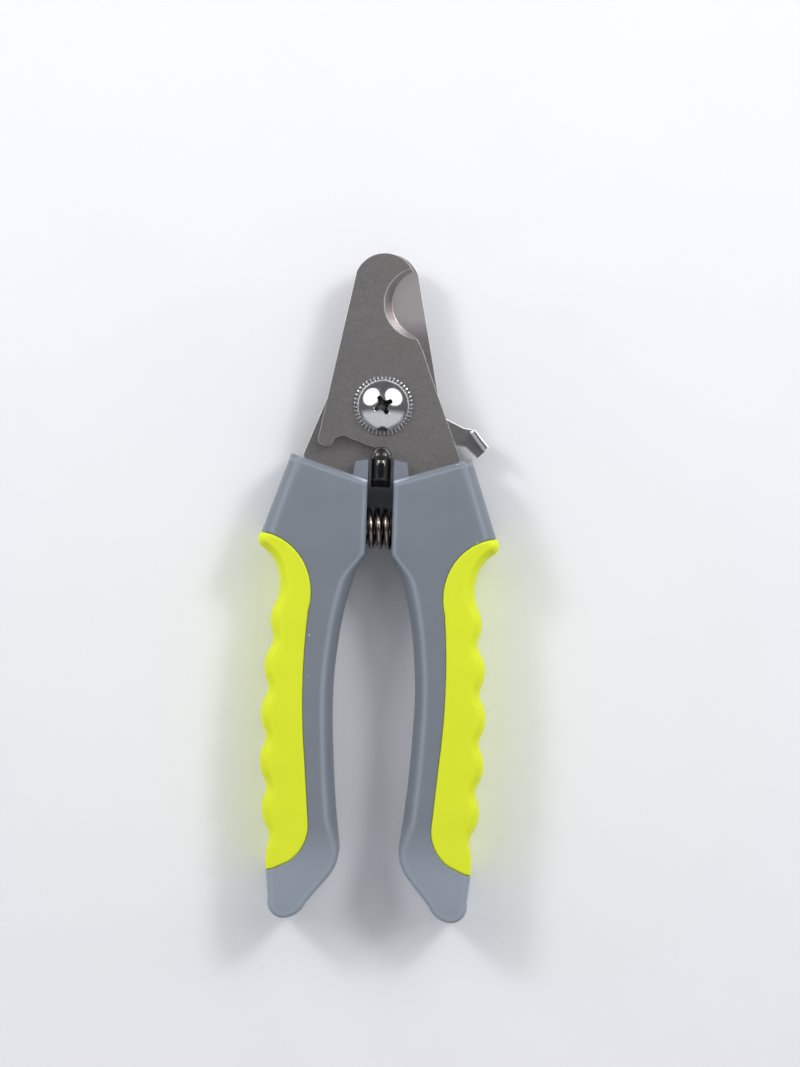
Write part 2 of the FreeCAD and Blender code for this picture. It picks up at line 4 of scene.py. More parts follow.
import bmesh
import bpy
import numpy as np
from bpy.props import FloatProperty, FloatVectorProperty, IntProperty, PointerProperty
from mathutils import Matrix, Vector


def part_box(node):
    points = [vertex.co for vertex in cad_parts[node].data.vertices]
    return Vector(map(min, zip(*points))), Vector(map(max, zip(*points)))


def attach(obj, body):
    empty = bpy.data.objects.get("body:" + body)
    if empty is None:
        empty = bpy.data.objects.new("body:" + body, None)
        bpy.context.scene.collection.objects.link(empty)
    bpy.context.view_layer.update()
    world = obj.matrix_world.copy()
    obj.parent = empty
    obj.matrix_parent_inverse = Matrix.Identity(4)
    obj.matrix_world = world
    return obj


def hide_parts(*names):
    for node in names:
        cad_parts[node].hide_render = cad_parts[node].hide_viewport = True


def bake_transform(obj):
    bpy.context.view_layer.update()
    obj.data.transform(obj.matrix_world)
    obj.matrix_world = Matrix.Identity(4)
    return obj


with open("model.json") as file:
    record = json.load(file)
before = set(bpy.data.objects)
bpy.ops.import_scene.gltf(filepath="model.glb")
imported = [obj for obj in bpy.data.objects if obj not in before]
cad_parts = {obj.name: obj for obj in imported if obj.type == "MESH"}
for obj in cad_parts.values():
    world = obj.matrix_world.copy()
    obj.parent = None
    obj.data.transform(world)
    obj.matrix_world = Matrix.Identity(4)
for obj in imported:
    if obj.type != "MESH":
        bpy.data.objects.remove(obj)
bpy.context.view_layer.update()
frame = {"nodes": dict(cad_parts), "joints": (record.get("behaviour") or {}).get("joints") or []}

bl_info = {
    "name": "Scissor Nail Clipper",
    "version": (1, 0, 0),
    "blender": (4, 5, 0),
    "location": "View3D > Sidebar > Clipper",
    "description": "Finishes the clipper's pieces and sets the stage",
    "category": "Object",
}

MM = 0.001
HINGE = next(joint for joint in frame["joints"] if joint["name"] == "handle_hinge")
PIVOT = np.array(HINGE["pos_m"])
MID = PIVOT[2]
TURN = 2 * math.pi


# ---------------- settings

def measure(name, description, default):
    return FloatProperty(name=name, description=description, default=default, unit="LENGTH", precision=5)


class ClipperSizes(bpy.types.PropertyGroup):
    """Lengths that shape the finished pieces."""

    edge_width: measure("Edge width", "How far the handles' edge rounding reaches in", 2.6 * MM)
    edge_height: measure("Edge height", "How far the handles' edge rounding reaches down", 4.0 * MM)
    gap_edge: measure("Gap edge", "Edge rounding beside the spring", 0.9 * MM)
    top_edge: measure("Top edge", "Edge rounding along the handles' slanted top edge", 1.3 * MM)
    crown: measure("Crown", "How much lower the face is at its rim than in its middle", 0.45 * MM)
    grip_step: measure("Grip step", "How far the grip stands above the cover", 0.25 * MM)
    seam_width: measure("Seam width", "Width of the rounded edge at the seam", 0.35 * MM)
    metal_edge: measure("Metal edge", "Broken edge on blades, guard and nut", 0.22 * MM)
    plastic_edge: measure("Plastic edge", "Rounded edge on the hard cores", 0.3 * MM)
    thread_pitch: measure("Thread pitch", "Pitch of the screw's thread", 0.8 * MM)
    teeth: IntProperty(name="Washer teeth", description="Serrations round the toothed washer", default=44)
    recess_turn: FloatProperty(name="Recess turn", description="How far the screw's cross is turned",
                               default=math.radians(28), subtype="ANGLE")


def colour(name, description, default):
    return FloatVectorProperty(name=name, description=description, default=default, subtype="COLOR",
                               size=3, min=0, max=1)


class ClipperColours(bpy.types.PropertyGroup):
    """Base colours of the finishes."""

    cover: colour("Cover", "Blue grey soft-touch cover", (0.170, 0.194, 0.228))
    grip: colour("Grip", "Yellow green finger grip", (0.645, 0.73, 0.014))
    core: colour("Core", "Light grey hard core", (0.19, 0.21, 0.25))
    blade: colour("Blade", "Ground stainless steel", (0.40, 0.375, 0.375))
    plate: colour("Plate", "Bright zinc plate", (0.62, 0.62, 0.63))
    guard: colour("Guard", "Pressed steel of the guard", (0.50, 0.485, 0.485))
    chrome: colour("Chrome", "Polished chrome", (0.80, 0.80, 0.82))
    black: colour("Black", "Black plastic of the catch", (0.012, 0.012, 0.014))
    spring: colour("Spring", "Blackened spring wire", (0.24, 0.20, 0.175))
    floor: colour("Floor", "Pale studio floor", (0.80, 0.81, 0.84))


def sizes():
    return bpy.context.scene.clipper_sizes


def colours():
    return bpy.context.scene.clipper_colours


# ---------------- mesh making

def smooth_step(values, low, high):
    """0 below low, 1 above high, and 3t^2 - 2t^3 between them."""
    share = np.clip((values - low) / (high - low), 0, 1)
    return share * share * (3 - 2 * share)


def quads(rows, columns, wrap_rows=False, wrap_columns=False):
    """Corner numbers of the quads of a grid whose points are numbered row by row."""
    row = np.arange(rows if wrap_rows else rows - 1)[:, None]
    column = np.arange(columns if wrap_columns else columns - 1)[None, :]
    below = (row + 1) % rows
    right = (column + 1) % columns
    corners = (row * columns + column, row * columns + right, below * columns + right,
               below * columns + column)
    return np.stack(np.broadcast_arrays(*corners), axis=-1).reshape(-1, 4)


def build(name, points, faces, smooth_angle=40.0, **marks):
    """A mesh object from points and quads, with doubles merged, flat faces removed and normals outwards.

    Each of marks is a value at every point, kept as an attribute for the finishes to read.
    """
    mesh = bpy.data.meshes.new(name)
    mesh.from_pydata(points.reshape(-1, 3).tolist(), [], faces.tolist())
    for mark, values in marks.items():
        mesh.attributes.new(mark, "FLOAT", "POINT").data.foreach_set("value",
                                                                     np.ravel(values).astype(np.float32))
    work = bmesh.new()
    work.from_mesh(mesh)
    bmesh.ops.remove_doubles(work, verts=work.verts, dist=2e-6)
    bmesh.ops.dissolve_degenerate(work, edges=work.edges, dist=1e-7)
    bmesh.ops.recalc_face_normals(work, faces=work.faces)
    work.to_mesh(mesh)
    work.free()
    piece = bpy.data.objects.new(name, mesh)
    bpy.context.scene.collection.objects.link(piece)
    shade(piece, smooth_angle)
    return piece


FLAT_AREA = 3e-6


def shade(piece, angle, flat_area=math.inf):
    """Smooth shading, kept sharp where faces meet at more than angle degrees and on wide flat faces."""
    piece.data.shade_smooth()
    work = bmesh.new()
    work.from_mesh(piece.data)
    limit = math.radians(angle)
    for edge in work.edges:
        edge.smooth = len(edge.link_faces) == 2 and edge.calc_face_angle(0) < limit
    for face in work.faces:
        face.smooth = face.calc_area() < flat_area
    work.to_mesh(piece.data)
    work.free()


def finish(piece, body, node, slot):
    """Give a finished piece its finish, hide the CAD node it stands for, and attach it to its body if it
    has one.
    """
    piece.data.materials.clear()
    piece.data.materials.append(material_for(slot))
    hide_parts(node)
    if body:
        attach(piece, body)


def edged_copy(node, name, width, angle=30.0, clamp=True):
    """A merged copy of a CAD node with its flat faces whole and its edges broken by a narrow bevel."""
    mesh = frame["nodes"][node].data.copy()
    mesh.name = name
    mesh.materials.clear()
    mesh.materials.append(None)
    mesh.materials.append(None)
    work = bmesh.new()
    work.from_mesh(mesh)
    bmesh.ops.remove_doubles(work, verts=work.verts, dist=1e-6)
    bmesh.ops.dissolve_limit(work, angle_limit=math.radians(0.3), verts=work.verts, edges=work.edges)
    work.to_mesh(mesh)
    work.free()
    piece = bpy.data.objects.new(name, mesh)
    bpy.context.scene.collection.objects.link(piece)
    bevel = piece.modifiers.new("broken_edge", "BEVEL")
    bevel.width = width
    bevel.segments = 3
    bevel.material = 1
    bevel.limit_method = "ANGLE"
    bevel.use_clamp_overlap = clamp
    bevel.angle_limit = math.radians(angle)
    bpy.context.view_layer.update()
    graph = bpy.context.evaluated_depsgraph_get()
    piece.data = bpy.data.meshes.new_from_object(piece.evaluated_get(graph))
    piece.modifiers.clear()
    mark_edges(piece.data)
    shade(piece, angle + 10, FLAT_AREA)
    return piece


def mark_edges(mesh):
    """Turn the bevel's second material slot into an attribute that is 1 on the broken edges."""
    slots = np.zeros(len(mesh.polygons), dtype=np.int32)
    mesh.polygons.foreach_get("material_index", slots)
    edge = mesh.attributes.new("edge", "FLOAT", "FACE")
    edge.data.foreach_set("value", (slots == 1).astype(np.float32))
    mesh.polygons.foreach_set("material_index", np.zeros_like(slots))


# ---------------- finishes

def new_tree_nodes(tree):
    """Shorthand that adds a node, sets its properties and fills or links its inputs."""
    def add(kind, inputs=None, **settings):
        node = tree.nodes.new(kind)
        for key, value in settings.items():
            setattr(node, key, value)
        for key, value in (inputs or {}).items():
            if isinstance(value, bpy.types.NodeSocket):
                tree.links.new(value, node.inputs[key])
            else:
                node.inputs[key].default_value = value
        return node
    return add


def node_group(name, inputs, outputs):
    """An empty shader group with float inputs (name, default) and float outputs."""
    group = bpy.data.node_groups.new(name, "ShaderNodeTree")
    for socket, default in inputs:
        made = group.interface.new_socket(name=socket, in_out="INPUT", socket_type="NodeSocketFloat")
        made.default_value = default
    for socket in outputs:
        group.interface.new_socket(name=socket, in_out="OUTPUT", socket_type="NodeSocketFloat")
    add = new_tree_nodes(group)
    return group, add, add("NodeGroupInput"), add("NodeGroupOutput")


def speckle_group():
    """Isotropic speckle: two octaves of noise on object coordinates, stretched to run from 0 to 1."""
    group, add, start, end = node_group("fine_speckle", [("Scale", 1800.0), ("Contrast", 2.2)], ["Value"])
    place = add("ShaderNodeTexCoord")
    noise = add("ShaderNodeTexNoise", {"Vector": place.outputs["Object"], "Scale": start.outputs["Scale"],
                                       "Detail": 3.0, "Roughness": 0.65})
    centred = add("ShaderNodeMath", {0: noise.outputs["Fac"], 1: 0.5}, operation="SUBTRACT")
    scaled = add("ShaderNodeMath", {0: centred.outputs[0], 1: start.outputs["Contrast"], 2: 0.5},
                 operation="MULTIPLY_ADD", use_clamp=True)
    group.links.new(scaled.outputs[0], end.inputs["Value"])
    return group


def grain_group():
    """Ground-metal grain: noise whose coordinates are squeezed across the grinding direction."""
    group, add, start, end = node_group("ground_grain", [("Scale", 900.0), ("Stretch", 14.0)], ["Value"])
    place = add("ShaderNodeTexCoord")
    split = add("ShaderNodeSeparateXYZ", {0: place.outputs["Object"]})
    squeezed = add("ShaderNodeMath", {0: split.outputs["Y"], 1: start.outputs["Stretch"]},
                   operation="MULTIPLY")
    joined = add("ShaderNodeCombineXYZ", {"X": split.outputs["X"], "Y": squeezed.outputs[0],
                                          "Z": split.outputs["Z"]})
    noise = add("ShaderNodeTexNoise", {"Vector": joined.outputs[0], "Scale": start.outputs["Scale"],
                                       "Detail": 4.0, "Roughness": 0.7})
    group.links.new(noise.outputs["Fac"], end.inputs["Value"])
    return group


def moulding_group():
    """Moulded skin: a soft pebble height, a slow mottle and a mask of a few dust specks."""
    group, add, start, end = node_group("moulded_skin",
                                        [("Pebble", 3200.0), ("Mottle", 90.0), ("Specks", 420.0)],
                                        ["Height", "Mottle", "Dust"])
    place = add("ShaderNodeTexCoord")
    pebble = add("ShaderNodeTexNoise", {"Vector": place.outputs["Object"], "Scale": start.outputs["Pebble"],
                                        "Detail": 2.0, "Roughness": 0.5})
    mottle = add("ShaderNodeTexNoise", {"Vector": place.outputs["Object"], "Scale": start.outputs["Mottle"],
                                        "Detail": 5.0, "Roughness": 0.6})
    cells = add("ShaderNodeTexVoronoi",
                {"Vector": place.outputs["Object"], "Scale": start.outputs["Specks"],
                                         "Randomness": 1.0})
    near = add("ShaderNodeMapRange",
               {"Value": cells.outputs["Distance"], "From Min": 0.05, "From Max": 0.11,
                                      "To Min": 1.0, "To Max": 0.0})
    pick = add("ShaderNodeSeparateColor", {"Color": cells.outputs["Color"]})
    rare = add("ShaderNodeMath", {0: pick.outputs[0], 1: 0.93}, operation="GREATER_THAN")
    dust = add("ShaderNodeMath", {0: near.outputs[0], 1: rare.outputs[0]}, operation="MULTIPLY")
    group.links.new(pebble.outputs["Fac"], end.inputs["Height"])
    group.links.new(mottle.outputs["Fac"], end.inputs["Mottle"])
    group.links.new(dust.outputs[0], end.inputs["Dust"])
    return group


GROUPS = {"fine_speckle": speckle_group, "ground_grain": grain_group, "moulded_skin": moulding_group}


def shared(add, name, **inputs):
    """A node of one of the shared groups, which is made the first time it is asked for."""
    return add("ShaderNodeGroup", inputs, node_tree=bpy.data.node_groups.get(name) or GROUPS[name]())


def new_material(name, **settings):
    """A Principled material with its uniform values set on the shader's own sockets."""
    material = bpy.data.materials.new(name)
    material.use_nodes = True
    shader = material.node_tree.nodes["Principled BSDF"]
    for key, value in settings.items():
        shader.inputs[key.replace("_", " ")].default_value = value
    return material, shader, new_tree_nodes(material.node_tree)


def tint(base, share):
    """The colour scaled by share, with an alpha."""
    return tuple(min(1.0, part * share) for part in base) + (1.0,)


def mix_colours(add, share, first, second):
    """Blend of two colours: the colour sockets of a Mix node are its seventh and eighth inputs."""
    mix = add("ShaderNodeMix", data_type="RGBA")
    tree = mix.id_data
    for index, value in ((0, share), (6, first), (7, second)):
        if isinstance(value, bpy.types.NodeSocket):
            tree.links.new(value, mix.inputs[index])
        else:
            mix.inputs[index].default_value = value
    return mix.outputs[2]


def map_range(add, value, low, high):
    return add("ShaderNodeMapRange", {"Value": value, "To Min": low, "To Max": high}).outputs[0]


def add_bump(add, shader, height, strength, distance):
    bump = add("ShaderNodeBump", {"Height": height, "Strength": strength, "Distance": distance})
    shader.id_data.links.new(bump.outputs[0], shader.inputs["Normal"])


def attribute(add, name):
    """A piece's own attribute, which is nought where the piece has none of that name."""
    return add("ShaderNodeAttribute", attribute_name=name).outputs["Fac"]


def join(shader, socket, value):
    shader.id_data.links.new(value, shader.inputs[socket])


PALE_TAIL = (-0.050, -0.064)  # Y where the tail starts to turn paler, and where it has
PALE_LIGHT = 1.65  # how light the palest tail is
RIM_HIGHLIGHT_SHARE = 0.2  # how strongly the painted highlight along a rounding's rim shows


def moulded_material(name, base, roughness, tail_lift, mottle_depth, dust_light, rim_highlight):
    """Matt moulding: mottled, finely pebbled, lightly dusted, paler towards the tail, with a painted
    highlight along the roundings' rims.
    """
    material, shader, add = new_material(name, Roughness=roughness, Specular_IOR_Level=0.42)
    skin = shared(add, "moulded_skin")
    place = add("ShaderNodeTexCoord")
    split = add("ShaderNodeSeparateXYZ", {0: place.outputs["Object"]})
    tail = add("ShaderNodeMapRange",
               {"Value": split.outputs["Y"], "From Min": PALE_TAIL[0], "From Max": PALE_TAIL[1],
                "To Min": 0.0, "To Max": tail_lift}, interpolation_type="SMOOTHSTEP")
    body = mix_colours(add, skin.outputs["Mottle"], tint(base, 1 - mottle_depth),
                       tint(base, 1 + mottle_depth))
    lifted = mix_colours(add, tail.outputs[0], body, tint(base, PALE_LIGHT))
    # painted highlight: the colour turns lighter along the roundings' rims
    share = add("ShaderNodeMath", {0: attribute(add, "rim"), 1: RIM_HIGHLIGHT_SHARE}, operation="MULTIPLY",
                use_clamp=True)
    rim_highlighted = mix_colours(add, share.outputs[0], lifted, tint(base, rim_highlight))
    dusted = mix_colours(add, skin.outputs["Dust"], rim_highlighted, tint(base, dust_light))
    join(shader, "Base Color", dusted)
    join(shader, "Roughness", map_range(add, skin.outputs["Mottle"], roughness - 0.08, roughness + 0.08))
    add_bump(add, shader, skin.outputs["Height"], 0.25, 0.00006)
    return material


HOLLOW_Y = (0.0545, 0.0585)  # Y over which a painted highlight makes the steel seen through the notch brighter
HOLLOW_Z = 0.0082  # the height it lies under: the face between the two blades
CLOUD_SCALE = 110.0
HOLLOW_HIGHLIGHT = 1.75  # how light the painted highlight on the steel in the hollow is
EDGE_HIGHLIGHT = 2.3  # how light the painted highlight on a broken edge is


def ground_steel(name, base, roughness, speckle_scale, grain_depth):
    """Satin steel: a speckled colour over fine grinding lines that vary the gloss, with a painted highlight
    on the steel seen through the notch and on the broken edges.
    """
    material, shader, add = new_material(name, Metallic=1.0, Roughness=roughness)
    speckle = shared(add, "fine_speckle", Scale=speckle_scale)
    grain = shared(add, "ground_grain")
    cloud = shared(add, "fine_speckle", Scale=CLOUD_SCALE)
    blend = add("ShaderNodeMath", {0: cloud.outputs[0], 1: 0.35, 2: -0.17}, operation="MULTIPLY_ADD")
    mixed = add("ShaderNodeMath", {0: speckle.outputs[0], 1: blend.outputs[0]}, use_clamp=True)
    flecks = mix_colours(add, mixed.outputs[0], tint(base, 0.86), tint(base, 1.13))
    lined = mix_colours(add, map_range(add, grain.outputs[0], 0.0, 2 * grain_depth), flecks,
                        tint(base, 0.7))
    # painted highlight: the steel seen through the notch, below the face between the blades, is made
    # lighter
    place = add("ShaderNodeSeparateXYZ", {0: add("ShaderNodeTexCoord").outputs["Object"]})
    tip = add("ShaderNodeMapRange",
              {"Value": place.outputs["Y"], "From Min": HOLLOW_Y[0], "From Max": HOLLOW_Y[1]})
    low = add("ShaderNodeMath", {0: place.outputs["Z"], 1: HOLLOW_Z}, operation="LESS_THAN")
    hollow = add("ShaderNodeMath", {0: tip.outputs[0], 1: low.outputs[0]}, operation="MULTIPLY")
    hollow_highlighted = mix_colours(add, hollow.outputs[0], lined, tint(base, HOLLOW_HIGHLIGHT))
    # painted highlight on the broken edges: lighter colour and less metallic
    edge = attribute(add, "edge")
    join(shader, "Base Color", mix_colours(add, map_range(add, edge, 0.0, 0.85), hollow_highlighted,
                                           tint(base, EDGE_HIGHLIGHT)))
    join(shader, "Metallic", map_range(add, edge, 1.0, 0.35))
    join(shader, "Roughness", map_range(add, grain.outputs[0], roughness - grain_depth,
                                        roughness + grain_depth))
    add_bump(add, shader, grain.outputs[0], grain_depth, 0.00004)
    return material


def bright_metal(name, base, roughness, wear):
    """Plated metal: nearly even colour with a faint cloud of fine wear in its gloss, and painted shade that
    darkens its recesses.
    """
    material, shader, add = new_material(name, Metallic=1.0, Roughness=roughness)
    speckle = shared(add, "fine_speckle", Scale=700.0)
    cloud = mix_colours(add, speckle.outputs[0], tint(base, 0.93), tint(base, 1.05))
    # painted shade: the colour falls nearly to black in recesses
    join(shader, "Base Color", mix_colours(add, attribute(add, "cavity"), cloud, tint(base, 0.05)))
    join(shader, "Roughness", map_range(add, speckle.outputs[0], roughness, roughness + wear))
    return material


def gloss_black(name, base, roughness, metallic):
    """Glossy black moulding or coating, with slight flow marks, a clear top, and painted shade that darkens
    the masked parts and takes their gloss away.
    """
    material, shader, add = new_material(name, Metallic=metallic, Coat_Roughness=0.05)
    skin = shared(add, "moulded_skin")
    # painted shade: darker, with no coat and little specular, where the mask is set
    shade_mask = attribute(add, "cavity")
    marks = mix_colours(add, skin.outputs["Mottle"], tint(base, 0.7), tint(base, 1.6))
    join(shader, "Base Color", mix_colours(add, shade_mask, marks, tint(base, 0.3)))
    join(shader, "Coat Weight", map_range(add, shade_mask, 1.0, 0.0))
    join(shader, "Specular IOR Level", map_range(add, shade_mask, 0.3, 0.05))
    join(shader, "Roughness", map_range(add, skin.outputs["Mottle"], roughness, roughness + 0.15))
    add_bump(add, shader, skin.outputs["Height"], 0.08, 0.00004)
    return material


MATERIALS = {}


def material_for(slot):
    """The finish of one of the record's material slots, made the first time it is asked for."""
    if slot not in MATERIALS:
        shade_of = colours()
        makers = {
            "cover_grey": lambda: moulded_material("cover_grey", shade_of.cover, 0.42, 0.75, 0.07, 2.4,
                                                   3.2),
            "grip_green": lambda: moulded_material("grip_green", shade_of.grip, 0.60, 0.0, 0.03, 1.15, 1.1),
            "core_plastic": lambda: moulded_material("core_plastic", shade_of.core, 0.35, 0.0, 0.05, 1.5,
                                                     1.3),
            "blade_steel": lambda: ground_steel("blade_steel", shade_of.blade, 0.36, 1500.0, 0.15),
            "guard_steel": lambda: ground_steel("guard_steel", shade_of.guard, 0.30, 1200.0, 0.05),
            "plated_steel": lambda: bright_metal("plated_steel", shade_of.plate, 0.24, 0.14),
            "bright_chrome": lambda: bright_metal("bright_chrome", shade_of.chrome, 0.09, 0.05),
            "spring_black": lambda: gloss_black("spring_black", shade_of.spring, 0.11, 1.0),
            "catch_black": lambda: gloss_black("catch_black", shade_of.black, 0.24, 0.0),
        }
        MATERIALS[slot] = makers[slot]()
    return MATERIALS[slot]


# ---------------- handles

def node_points(node):
    """The points of a CAD node as an array of (x, y, z)."""
    mesh = frame["nodes"][node].data
    points = np.empty(len(mesh.vertices) * 3)
    mesh.vertices.foreach_get("co", points)
    return points.reshape(-1, 3)


def face_edges(node):
    """Plan ends of the mesh edges that lie in a node's front face, as two arrays of (x, y)."""
    mesh = frame["nodes"][node].data
    points = node_points(node)
    ends = np.empty(len(mesh.edges) * 2, dtype=np.int64)
    mesh.edges.foreach_get("vertices", ends)
    ends = ends.reshape(-1, 2)
    top = points[:, 2] > points[:, 2].max() - 1e-6
    ends = ends[top[ends].all(axis=1)]
    return points[ends[:, 0], :2], points[ends[:, 1], :2]


def spans(node, levels):
    """Least and greatest x of a node's front face where each level of y cuts it."""
    first, second = face_edges(node)
    low = np.minimum(first[:, 1], second[:, 1])[None, :]
    high = np.maximum(first[:, 1], second[:, 1])[None, :]
    rise = second[:, 1] - first[:, 1]
    rise = np.where(np.abs(rise) < 1e-12, 1e-12, rise)
    share = np.clip((levels[:, None] - first[None, :, 1]) / rise[None, :], 0, 1)
    across = first[None, :, 0] + share * (second[:, 0] - first[:, 0])[None, :]
    cut = (levels[:, None] >= low - 1e-9) & (levels[:, None] <= high + 1e-9)
    left = np.where(cut, across, np.inf).min(axis=1)
    right = np.where(cut, across, -np.inf).max(axis=1)
    return left, right


BLOCK = 4000  # points measured at a time, which keeps the arrays small


def distance_to_chain(points, chain):
    """Shortest plan distance from each point to a chain of straight runs."""
    begin = chain[:-1]
    run = chain[1:] - begin
    length = np.maximum((run ** 2).sum(axis=1), 1e-18)
    nearest = np.full(len(points), np.inf)
    for start in range(0, len(points), BLOCK):
        part = points[start:start + BLOCK]
        away = part[:, None, :] - begin[None, :, :]
        share = np.clip((away * run[None]).sum(axis=2) / length[None], 0, 1)
        gap = away - share[..., None] * run[None]
        nearest[start:start + BLOCK] = np.sqrt((gap ** 2).sum(axis=2).min(axis=1))
    return nearest


class HandlePlan:
    """The right handle in plan, read from the frame: rows from the top edge to the tail.

    Each row runs from a point of the inner edge to a point of the outer edge. The rows lie along the
    slanted top edge at first and turn level by the shoulder.
    """

    TOP_ROWS = 44
    LONG_ROWS = 330
    TAIL_ROWS = 40
    LEVEL = 0.0115  # where the rows have become level, just above the shoulder
    TAIL = 0.006  # length of the tail over which the rows close up
    CLOSER = 1.6  # power that sets the first rows closer together

    def __init__(self):
        low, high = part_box("right_handle_cover")
        end = low.y
        gap = low.x
        share = np.linspace(0, 1, self.TOP_ROWS) ** self.CLOSER
        _, corner_right = spans("right_handle_cover", np.array([high.y - 2e-6]))
        outer_top = high.y
        inner_top = self.inner_top(gap)
        outer = outer_top + (self.LEVEL - outer_top) * share
        inner = inner_top + (self.LEVEL - inner_top) * share
        level = np.linspace(self.LEVEL, end + self.TAIL, self.LONG_ROWS)[1:]
        tail = end + self.TAIL * (1 - np.linspace(0, 1, self.TAIL_ROWS)[1:]) ** 2
        self.outer_y = np.concatenate([outer, level, tail])
        self.inner_y = np.concatenate([inner, level, tail])
        cover_left, _ = spans("right_handle_cover", np.clip(self.inner_y, end + 1e-7, inner_top))
        grip_low, grip_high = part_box("right_grip")
        out_left, out_right = spans("right_handle_cover",
                                    np.clip(self.outer_y, end + 1e-7, outer_top - 1e-7))
        grip_left, grip_right = spans("right_grip", self.outer_y)
        self.has_grip = (self.outer_y < grip_high.y - 1e-5) & (self.outer_y > grip_low.y + 1e-5)
        self.inner_x = np.where(np.isfinite(cover_left), cover_left, gap)
        self.outer_x = np.where(self.has_grip, grip_right, out_right)
        self.outer_x[0] = corner_right[0]
        self.seam_x = np.where(self.has_grip, grip_left, self.outer_x)
        self.inner_x[-1] = self.outer_x[-1] = self.seam_x[-1] = 0.5 * (out_left[-1] + out_right[-1])
        self.inner = np.stack([self.inner_x, self.inner_y], axis=1)
        self.outer = np.stack([self.outer_x, self.outer_y], axis=1)
        self.top = np.stack([self.inner[0], self.outer[0]])
        self.seam = np.stack([self.seam_x, self.outer_y], axis=1)[self.has_grip]
        self.half_height = 0.5 * (high.z - low.z)

    @staticmethod
    def inner_top(gap):
        """Height along Y of the cover's top edge where it meets the inner face."""
        first, second = face_edges("right_handle_cover")
        ends = np.concatenate([first, second])
        return ends[ends[:, 0] < gap + 1e-6, 1].max()


TAIL_EASE = (0.050, 0.058)  # -Y over which the edge rounding narrows at the tail
TAIL_SHARE = 0.75  # how much of the way to the gap's rounding it goes there
GAP_EASE = (0.0005, 0.0065)  # Y over which the inner rounding narrows beside the spring
CORNER_HIGHLIGHT_REACH = 0.003  # how far the painted highlight at the inner top corner spreads
CORNER_HIGHLIGHT_LINE = 0.0003  # the painted highlight line's distance from the top edge, and its width
# how strongly the painted corner highlight shows
CORNER_HIGHLIGHT = 4.0


def face_height(plan, points, step):
    """Height of the face above the middle plane, and how near each point is to the rounding's rim.

    The full height, less the greatest of three quarter-ellipse falls (at the top, inner and outer edges),
    a slight crown and a narrow fall at the seam. The rim is a painted highlight: a bell curve of the
    distance to the line where a rounding starts, weaker at the tail, plus a painted highlight line by the
    inner top corner.
    """
    size = sizes()
    tail = TAIL_SHARE * smooth_step(-points[:, 1], *TAIL_EASE)
    wide = size.edge_width + (size.gap_edge - size.edge_width) * tail
    deep = size.edge_height + (1.5 * size.gap_edge - size.edge_height) * tail
    beside = smooth_step(points[:, 1], *GAP_EASE)
    fall = np.zeros(len(points))
    rim = np.zeros(len(points))
    for chain, width, height in (
        (plan.top, np.full(len(points), size.top_edge), np.full(len(points), 1.5 * size.top_edge)),
        (plan.inner, wide + (size.gap_edge - wide) * beside, deep + (1.5 * size.gap_edge - deep) * beside),
        (plan.outer, wide, deep),
    ):
        away = distance_to_chain(points, chain)
        reach = 1 - np.clip(away / width, 0, 1)
        fall = np.maximum(fall, height * (1 - np.sqrt(np.clip(1 - reach ** 2, 0, 1))))
        crown = size.crown * (1 - np.clip(away / (3 * size.edge_width), 0, 1)) ** 2
        fall = np.maximum(fall, crown)
        rim = np.maximum(rim, np.exp(-(((away - 0.85 * width) / (0.12 * width + 0.0001)) ** 2)))
    # painted highlight: a bright line along the top edge near the inner top corner
    corner = np.exp(-((np.hypot(*(points - plan.inner[0]).T) / CORNER_HIGHLIGHT_REACH) ** 2))
    top = distance_to_chain(points, plan.top)
    line = np.exp(-(((top - CORNER_HIGHLIGHT_LINE) / CORNER_HIGHLIGHT_LINE) ** 2))
    rim = rim * (1 - 0.8 * tail) + CORNER_HIGHLIGHT * corner * line
    seam = distance_to_chain(points, plan.seam)
    groove = 0.8 * size.seam_width * (1 - np.clip(seam / size.seam_width, 0, 1)) ** 2
    return plan.half_height - step - fall - groove, rim


def handle_piece(name, plan, start_x, start_y, end_x, end_y, step, channel, side):
    """A closed pillow between two edges of the handle's plan.

    The front face is a grid of rows, each spaced by half a cosine wave so that it is finest at both edges;
    the back face is its mirror image, and straight walls join the two all round. Where channel is more
    than nought the wall at the first edge steps in by that much, to hold the hard core.
    """
    columns = 34
    spread = 0.5 * (1 - np.cos(np.linspace(0, math.pi, columns)))
    across = start_x[:, None] + (end_x - start_x)[:, None] * spread
    along = start_y[:, None] + (end_y - start_y)[:, None] * spread
    rows = len(start_x)
    plan_points = np.stack([across, along], axis=-1).reshape(-1, 2)
    rise, rim = face_height(plan, plan_points, step)
    rise = rise.reshape(rows, columns)
    front = np.stack([across, along, MID + rise], axis=-1)
    back = np.stack([across, along, MID - rise], axis=-1)
    lip = np.minimum(rise, core_half_height())
    levels = (rise, lip, -lip, -rise)
    walls = [upright(across, along, levels, cut) for cut in (np.s_[:, 0], np.s_[:, -1], np.s_[0],
                                                             np.s_[-1])]
    corners = walls[0][:, [0, 1, 1, 2, 2, 3]]
    corners[:, 2:4, 0] += channel[:, None]
    walls[0] = corners
    points = []
    faces = []
    count = 0
    for grid in (front, back, *walls):
        faces.append(quads(*grid.shape[:2]) + count)
        points.append(grid.reshape(-1, 3))
        count += grid.shape[0] * grid.shape[1]
    points = np.concatenate(points)
    points[:, 0] *= side
    # the front and back faces carry the painted rim highlight; the walls have none
    rim_highlights = np.zeros(len(points))
    rim_highlights[:2 * len(rim)] = np.tile(rim, 2)
    return build(name, points, np.concatenate(faces), smooth_angle=50.0, rim=rim_highlights)


def upright(across, along, levels, cut):
    """The wall below one edge of a grid: a row of points at each of the levels."""
    return np.stack([np.stack([across[cut], along[cut], MID + level[cut]], axis=-1) for level in levels],
                    axis=1)


def core_half_height():
    low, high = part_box("right_handle_core")
    return 0.5 * (high.z - low.z) + 0.00002


CHANNEL = 0.008  # how far the inner wall steps in to hold the hard core


